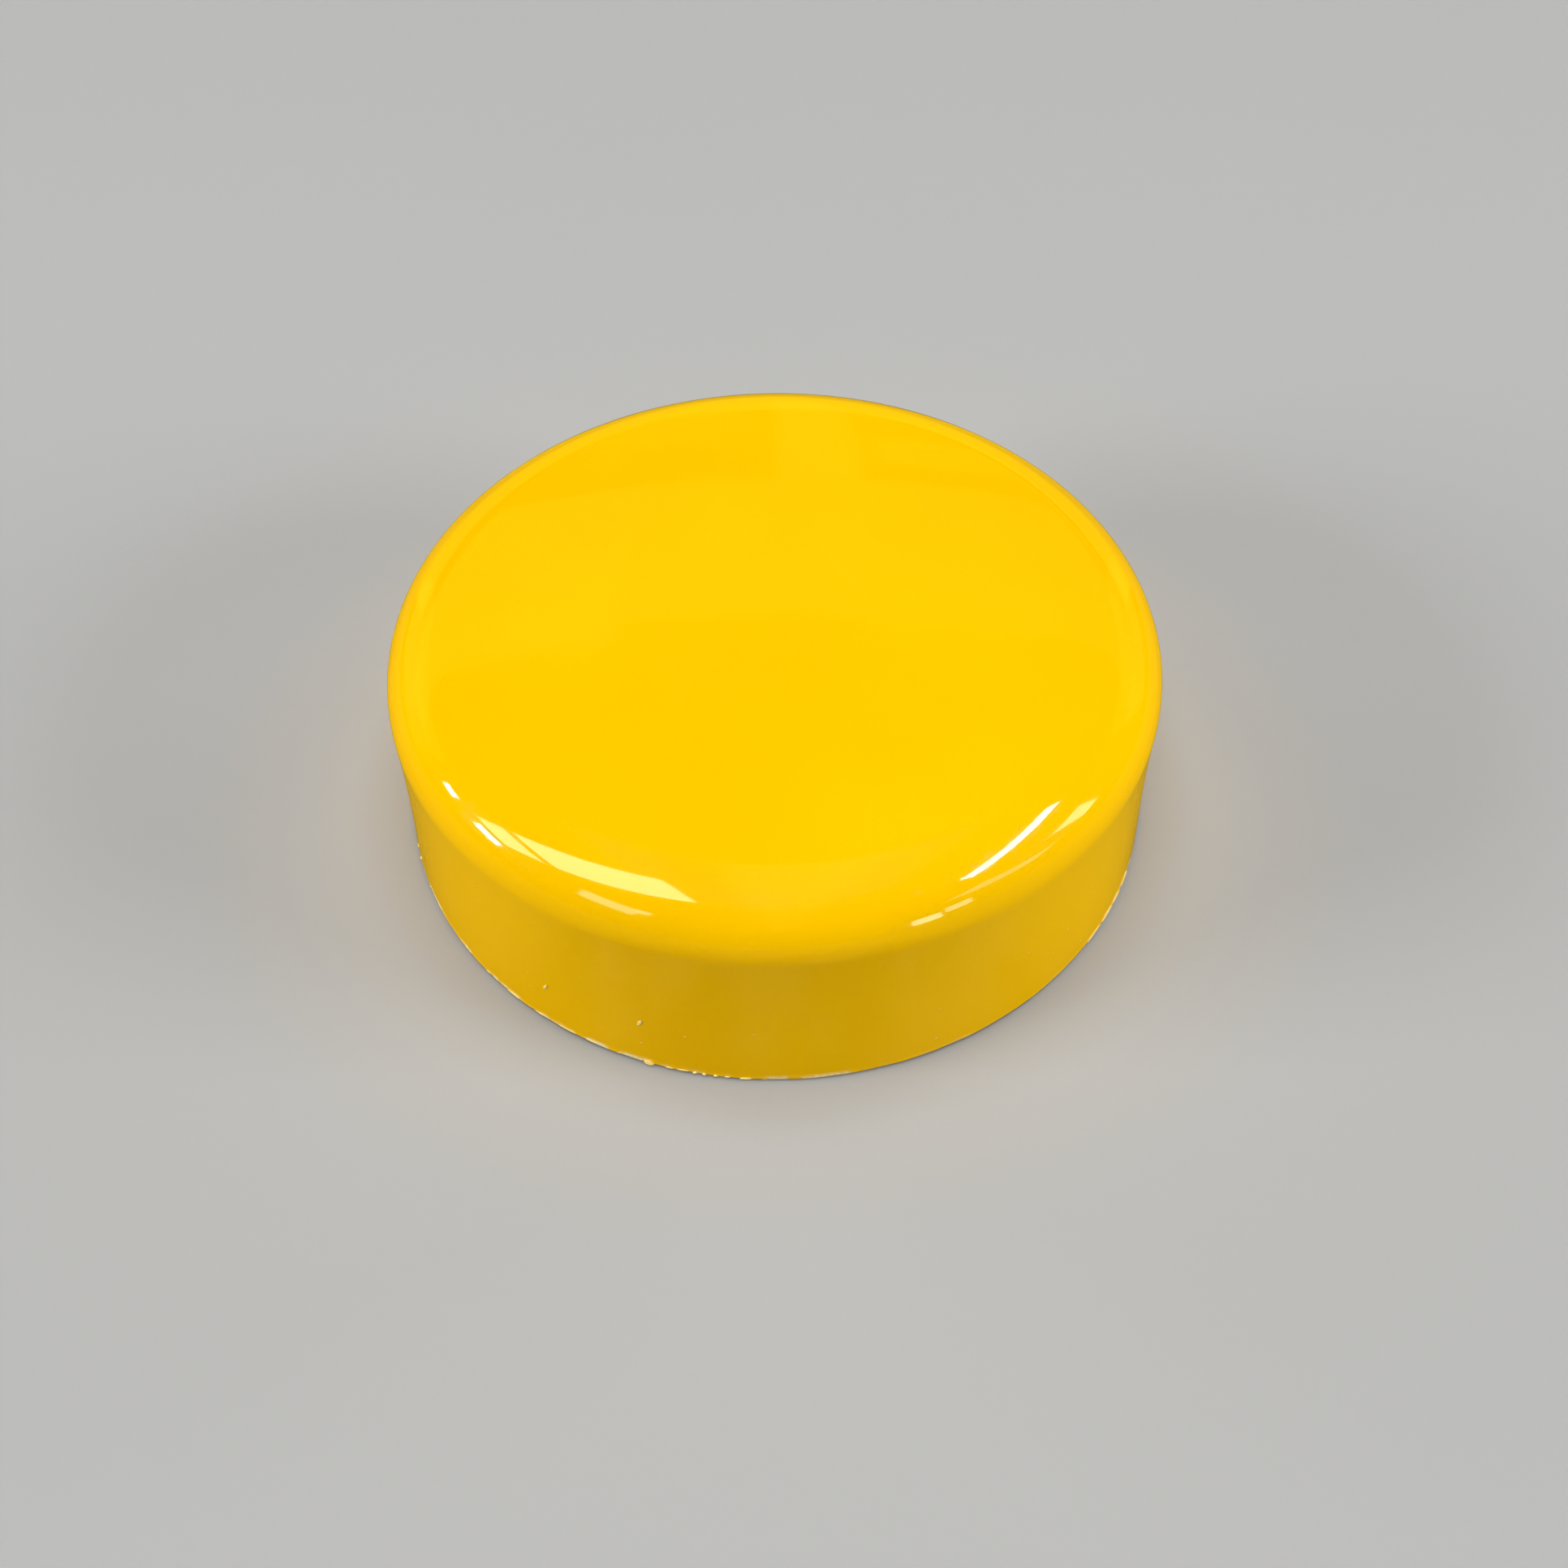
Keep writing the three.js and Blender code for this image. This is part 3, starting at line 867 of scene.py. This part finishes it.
def seal():
    """A round-section ring with its moulding line inside and out."""
    middle = (GROOVE_LOW_Z + GROOVE_HIGH_Z) / 2
    profile = []
    for k in range(SEAL_STEPS):
        turn = TURN * k / SEAL_STEPS
        swell = 1 + (SEAL_LINE if k % (SEAL_STEPS // 2) == 0 else 0)
        profile.append(
            (
                SEAL_CENTRE_R + SEAL_R * swell * math.cos(turn),
                middle + SEAL_R * math.sin(turn),
            )
        )
    return place(turned("seal", profile, MEDIUM), ["seal_ring"], rubber)


def band():
    corners = [
        (BAND_INNER_R, 0, 0.4),
        (BAND_OUTER_R, 0, 0.4),
        (BAND_OUTER_R, BAND_TOP_Z, 0.15),
        (BAND_INNER_R, BAND_TOP_Z, 0.15),
    ]
    body = turned("band", rounded(corners, steps=8), FINE)
    return place(body, ["running_band"], running)


def wave(share):
    """A trapezoid thread form: 0 at the root, 1 at the crest, over one pitch."""
    share %= 1
    return min(1, max(0, 1.9 - abs(share - 0.5) * 4.6))


def threaded(z, angle, low, high, root, crest):
    """A thread's radius at a height and bearing, running out at both ends."""
    fade = min(1, max(0, (z - low) / PITCH), max(0, (high - z) / PITCH))
    return root + (crest - root) * wave(z / PITCH - angle / TURN) * max(0, fade)


def insert_shape(name):
    """A threaded insert: two bands of slanting knurls outside, a thread inside."""
    low, length = LEDGE_Z, INSERT_LENGTH
    root, crest = INSERT_BORE_R + INSERT_THREAD, INSERT_BORE_R
    rows, segments = 60, 96

    def outer(angle, z):
        share = (z - low) / length
        if abs(share - 0.5) < 0.08:
            return INSERT_WAIST_R
        if share < 0.06 or share > 0.94:
            return INSERT_WAIST_R + 0.12
        lean = (z - low) * (2.2 if share < 0.5 else -2.2)
        ridge = abs(((angle * KNURLS / TURN + lean) % 1) - 0.5) * 2
        return INSERT_WAIST_R + 0.05 + (INSERT_R - INSERT_WAIST_R - 0.05) * ridge

    verts, faces = [], []
    for side in (0, 1):
        for i in range(rows + 1):
            z = low + length * i / rows
            for k in range(segments):
                angle = TURN * k / segments
                if side == 0:
                    r = outer(angle, z)
                else:
                    r = threaded(z, angle, low, low + length, root, crest)
                verts.append((r * math.cos(angle), r * math.sin(angle), z))

    def at(side, i, k):
        return (side * (rows + 1) + i) * segments + k % segments

    for k in range(segments):
        n = k + 1
        for i in range(rows):
            faces.append((at(0, i, k), at(0, i, n), at(0, i + 1, n), at(0, i + 1, k)))
            faces.append((at(1, i, k), at(1, i + 1, k), at(1, i + 1, n), at(1, i, n)))
        for i in (0, rows):
            faces.append((at(0, i, k), at(0, i, n), at(1, i, n), at(1, i, k)))
    return to_object(name, verts, faces)


def screw_shape(name):
    """A button-head screw, head down, with a hex socket and a thread."""
    head_z = COUNTERBORE_Z - HEAD_HEIGHT
    tip_z = COUNTERBORE_Z + SHANK_LENGTH
    profile = [(0, head_z), (0.9, head_z), (HEAD_FLAT_R - 0.15, head_z)]
    dome = [(HEAD_FLAT_R, head_z), (HEAD_R - 0.35, head_z + 0.35)]
    profile += bezier(dome + [(HEAD_R, COUNTERBORE_Z - 0.35)], 12)
    profile += [(HEAD_R, COUNTERBORE_Z - 0.08), (HEAD_R - 0.08, COUNTERBORE_Z)]
    profile += [(SHANK_R + 0.1, COUNTERBORE_Z), (SHANK_R - 0.1, COUNTERBORE_Z + 0.12)]
    start = COUNTERBORE_Z + 0.3
    rows = 104
    run = tip_z - 0.3 - start
    profile += [(SHANK_R, start + run * i / rows) for i in range(rows + 1)]
    profile += [(SHANK_R - 0.4, tip_z), (0, tip_z)]

    def shift(angle, r, z):
        if r == SHANK_R and z >= start:
            crest = SHANK_R - 0.03
            return threaded(z, angle, start, tip_z + 0.2, SHANK_ROOT_R, crest), z
        return r, z

    body = turned(name, profile, SMALL, closed=False, shift=shift)
    across = SOCKET_ACROSS_FLATS / 2 / math.cos(math.pi / HEX)
    outline = [
        (across * math.cos(TURN * k / HEX), across * math.sin(TURN * k / HEX))
        for k in range(HEX)
    ]
    socket = prism("tool", outline, head_z - 1, head_z + SOCKET_DEPTH)
    combine(body, socket, "DIFFERENCE")
    mouth = [(0, head_z - 1), (across + 0.98, head_z - 1)]
    mouth += [(across - 0.12, head_z + 0.1), (0, head_z + 0.1)]
    combine(body, turned("tool", mouth, SMALL, closed=False), "DIFFERENCE")
    return body


def fasteners():
    """The inserts and screws. Each screw is turned at random, as if just driven."""
    draw = random.Random(5)
    for i, (angle, centre) in enumerate(fastener_places(), start=1):
        for shape, node, slot_name, finish in (
            (insert_shape, "threaded_insert", "insert_brass", brass),
            (screw_shape, "base_screw", "screw_steel", steel),
        ):
            piece = shape(f"{node.split('_')[1]}_{i}")
            piece.location = (centre[0] * MM, centre[1] * MM, 0)
            turn = draw.uniform(0, TURN) if node == "base_screw" else angle
            piece.rotation_euler.z = turn
            bpy.context.view_layer.update()
            place(piece, [f"{node}_{i}"], finish, sharp=40)


cap()
rim_flash()
spacer()
ballast()
damper()
base()
seal()
band()
fasteners()


# ---------------------------------------------------------------- floor, light, camera
def disc(name, radius, z, material):
    """A level round sheet, denser towards the middle."""
    verts, faces = [(0, 0, z)], []
    segments = 96
    radii = [radius * share for share in (0.02, 0.05, 0.13, 0.33, 1)]
    for r in radii:
        for k in range(segments):
            angle = TURN * k / segments
            verts.append((r * math.cos(angle), r * math.sin(angle), z))
    for k in range(segments):
        n = (k + 1) % segments
        faces.append((0, 1 + k, 1 + n))
        for i in range(len(radii) - 1):
            a, b = 1 + i * segments, 1 + (i + 1) * segments
            faces.append((a + k, b + k, b + n, a + n))
    obj = to_object(name, verts, faces)
    if obj.data.polygons[0].normal.z < 0:
        obj.data.flip_normals()
    obj.data.materials.append(material)
    return obj


def floor():
    """A plain pale floor, with a card just above it that only reflections see, so
    that the gloss keeps its colour. Nothing else sees the card."""
    disc("floor", STAGE_R, FLOOR_Z, pale_floor())
    card = disc("card", STAGE_R, CARD_Z, dark_card_with_painted_glow())
    card.visible_camera = False
    card.visible_diffuse = False
    card.visible_shadow = False
    card.visible_transmission = False


def area_light(
    name, centre, target, size, radiance, color=(1, 1, 1), spin=None, **seen
):
    """A rectangular light of a given radiance, facing its target or turned by spin."""
    data = bpy.data.lights.new(name, "AREA")
    data.shape = "RECTANGLE"
    data.size, data.size_y = size
    data.energy = radiance * math.pi * size[0] * size[1]
    data.color = color
    obj = bpy.data.objects.new(name, data)
    bpy.context.collection.objects.link(obj)
    obj.location = centre
    obj.rotation_mode = "QUATERNION"
    facing = (Vector(target) - Vector(centre)).to_track_quat("-Z", "Y")
    obj.rotation_quaternion = spin or facing
    obj.visible_camera = False
    for ray, on in seen.items():
        setattr(obj, f"visible_{ray}", on)
    return obj


# Metres: the ceiling's height, how far off the panels and soft lights stand, and the
# point that they face
CEILING = 1.5
PANEL_DISTANCE, SOFT_DISTANCE = 2.5, 1.6
ABOVE = (0, 0, 0.02)
WARM = (1.0, 0.87, 0.55)
ROOM = (1.0, 0.93, 0.06)
PALE_LAMP = (1.0, 0.95, 0.72)

# Radiance of the soft lights, which only shade
OVERHEAD = 3.85
SIDE_LEFT = 15.6
SIDE_RIGHT = 14.6
FRONT = 2.5
BACK = 0.3
REAR = 5.0

# Radiance of the reflected lamps, and the strength of the backdrop
TUBE = 22
PANEL = 9.5
BACKDROP = 0.55


def ceiling_strip(name, x, y, radiance, color):
    """A level strip light: x and y are its spans, as shares of the ceiling's height."""
    centre = ((x[0] + x[1]) / 2 * CEILING, (y[0] + y[1]) / 2 * CEILING, CEILING)
    size = (abs(x[1] - x[0]) * CEILING, abs(y[1] - y[0]) * CEILING)
    below = (centre[0], centre[1], 0)
    area_light(name, centre, below, size, radiance, color, diffuse=False)


def facing_tube(name, x, y, radiance):
    """A strip light along Y, tilted to face the stone; spans as for ceiling_strip."""
    centre = ((x[0] + x[1]) / 2 * CEILING, (y[0] + y[1]) / 2 * CEILING, CEILING)
    lean = math.atan2(centre[0], CEILING)
    width = abs(x[1] - x[0]) * CEILING * math.cos(lean)
    size = (width, abs(y[1] - y[0]) * CEILING)
    spin = Matrix.Rotation(lean, 3, "Y").to_quaternion()
    area_light(name, centre, ABOVE, size, radiance, spin=spin, diffuse=False)


def heading(bearing, rise, distance):
    """The point that far away at a bearing from +X and a rise above the floor."""
    angle, tilt = math.radians(bearing), math.radians(rise)
    flat = distance * math.cos(tilt)
    return (flat * math.cos(angle), flat * math.sin(angle), distance * math.sin(tilt))


def lights():
    """Lamps and room parts that only reflections see, then soft lights that only
    shade, then the backdrop."""
    facing_tube("tube_right", (0.90, 1.07), (-0.70, 0.085), TUBE)
    facing_tube("tube_left_1", (-3.35, -2.45), (0.13, 0.36), TUBE)
    facing_tube("tube_left_2", (-3.35, -2.40), (-0.76, -0.32), TUBE)
    ceiling_strip("panel_left_1", (-1.15, -0.30), (-0.55, -0.13), PANEL, WARM)
    ceiling_strip("panel_left_2", (-2.10, -1.30), (-0.55, -0.13), PANEL, WARM)
    ceiling_strip("panel_right", (2.15, 5.0), (-0.54, -0.11), PANEL * 0.8, WARM)
    ceiling_strip("far_right", (1.7, 4.3), (-1.85, -1.25), 2.4, PALE_LAMP)

    # Panels and walls that stand round the room: bearing, rise, width, height
    for name, bearing, rise, size, radiance, color in (
        ("panel_low_1", -45.9, 8.7, (0.30, 0.34), 5.5, PALE_LAMP),
        ("panel_low_2", -54.4, 4.8, (0.32, 0.40), 8.5, PALE_LAMP),
        ("panel_far_1", -134.0, 25.5, (0.62, 0.44), 4.6, PALE_LAMP),
        ("panel_far_2", -124.9, 28.8, (0.14, 0.24), 4.6, PALE_LAMP),
        ("wall_left", 146, 18, (1.6, 1.2), 0.45, ROOM),
        ("wall_right", 38, 20, (1.4, 1.2), 0.40, ROOM),
        ("wall_back", 90, 11, (4.5, 1.15), 0.65, ROOM),
    ):
        centre = heading(bearing, rise, PANEL_DISTANCE)
        area_light(name, centre, ABOVE, size, radiance, color, diffuse=False)

    # The far half of the room and a glow overhead, faint in the top
    ceiling_strip("far_ceiling_left", (-2.6, -0.25), (0.92, 1.60), 0.50, ROOM)
    ceiling_strip("far_ceiling", (-0.25, 3.0), (0.97, 1.60), 0.34, ROOM)
    ceiling_strip("far_gap", (0.01, 0.19), (1.60, 3.6), 0.40, ROOM)
    ceiling_strip("far_bar_1", (0.24, 1.3), (1.74, 1.95), 0.26, ROOM)
    ceiling_strip("far_bar_2", (0.24, 1.6), (2.25, 2.60), 0.26, ROOM)
    ceiling_strip("far_shelf", (-0.60, -0.05), (1.95, 2.30), 0.14, ROOM)
    ceiling_strip("near_glow", (-0.10, 0.17), (-0.30, 0.36), 0.55, ROOM)
    ceiling_strip("near_glow_low", (-0.08, 0.16), (-1.9, -0.30), 0.50, ROOM)

    for name, bearing, rise, size, radiance in (
        ("overhead", -90, 90, (1.2, 1.2), OVERHEAD),
        ("side_left", -166, 20, (0.7, 0.5), SIDE_LEFT),
        ("side_right", -14, 20, (0.7, 0.5), SIDE_RIGHT),
        ("front", -90, 64, (0.8, 0.5), FRONT),
        ("back", 85, 42, (1.2, 0.7), BACK),
        ("rear_left", 146, 14, (0.6, 0.5), REAR),
        ("rear_right", 34, 14, (0.6, 0.5), REAR),
    ):
        centre = heading(bearing, rise, SOFT_DISTANCE)
        area_light(name, centre, ABOVE, size, radiance, glossy=False)

    # The backdrop behind low views. It sheds no light and isn't reflected.
    world = bpy.data.worlds.new("backdrop")
    bpy.context.scene.world = world
    world.use_nodes = True
    sky = world.node_tree.nodes["Background"]
    sky.inputs["Color"].default_value = (0.98, 0.99, 1.0, 1)
    sky.inputs["Strength"].default_value = BACKDROP
    world.cycles_visibility.glossy = False
    world.cycles_visibility.diffuse = False
    world.cycles_visibility.transmission = False


def camera():
    """The photograph's view: 49 degrees down from 171 mm, through a 36.8 mm lens."""
    pitch = math.radians(VIEW_DOWN)
    right = Vector((1, 0, 0))
    ahead = Vector((0, math.cos(pitch), -math.sin(pitch)))
    up = right.cross(ahead)
    place_at = -ahead * VIEW_DISTANCE * MM
    swing = Matrix.Rotation(math.radians(VIEW_YAW), 3, up)
    right, ahead = swing @ right, swing @ ahead
    ahead = Matrix.Rotation(math.radians(VIEW_TILT), 3, right) @ ahead
    up = right.cross(ahead)
    spin = Matrix.Rotation(math.radians(VIEW_ROLL), 3, ahead)
    right, up = spin @ right, spin @ up
    data = bpy.data.cameras.new("camera")
    data.lens, data.sensor_width = LENS, SENSOR
    data.clip_start, data.clip_end = 0.01, 20
    obj = bpy.data.objects.new("camera", data)
    bpy.context.collection.objects.link(obj)
    turn = Matrix((right, up, -ahead)).transposed()
    obj.matrix_world = Matrix.Translation(place_at) @ turn.to_4x4()
    bpy.context.scene.camera = obj


floor()
lights()
camera()
bpy.context.scene.view_settings.view_transform = "Standard"
bpy.context.scene.view_settings.look = "None"
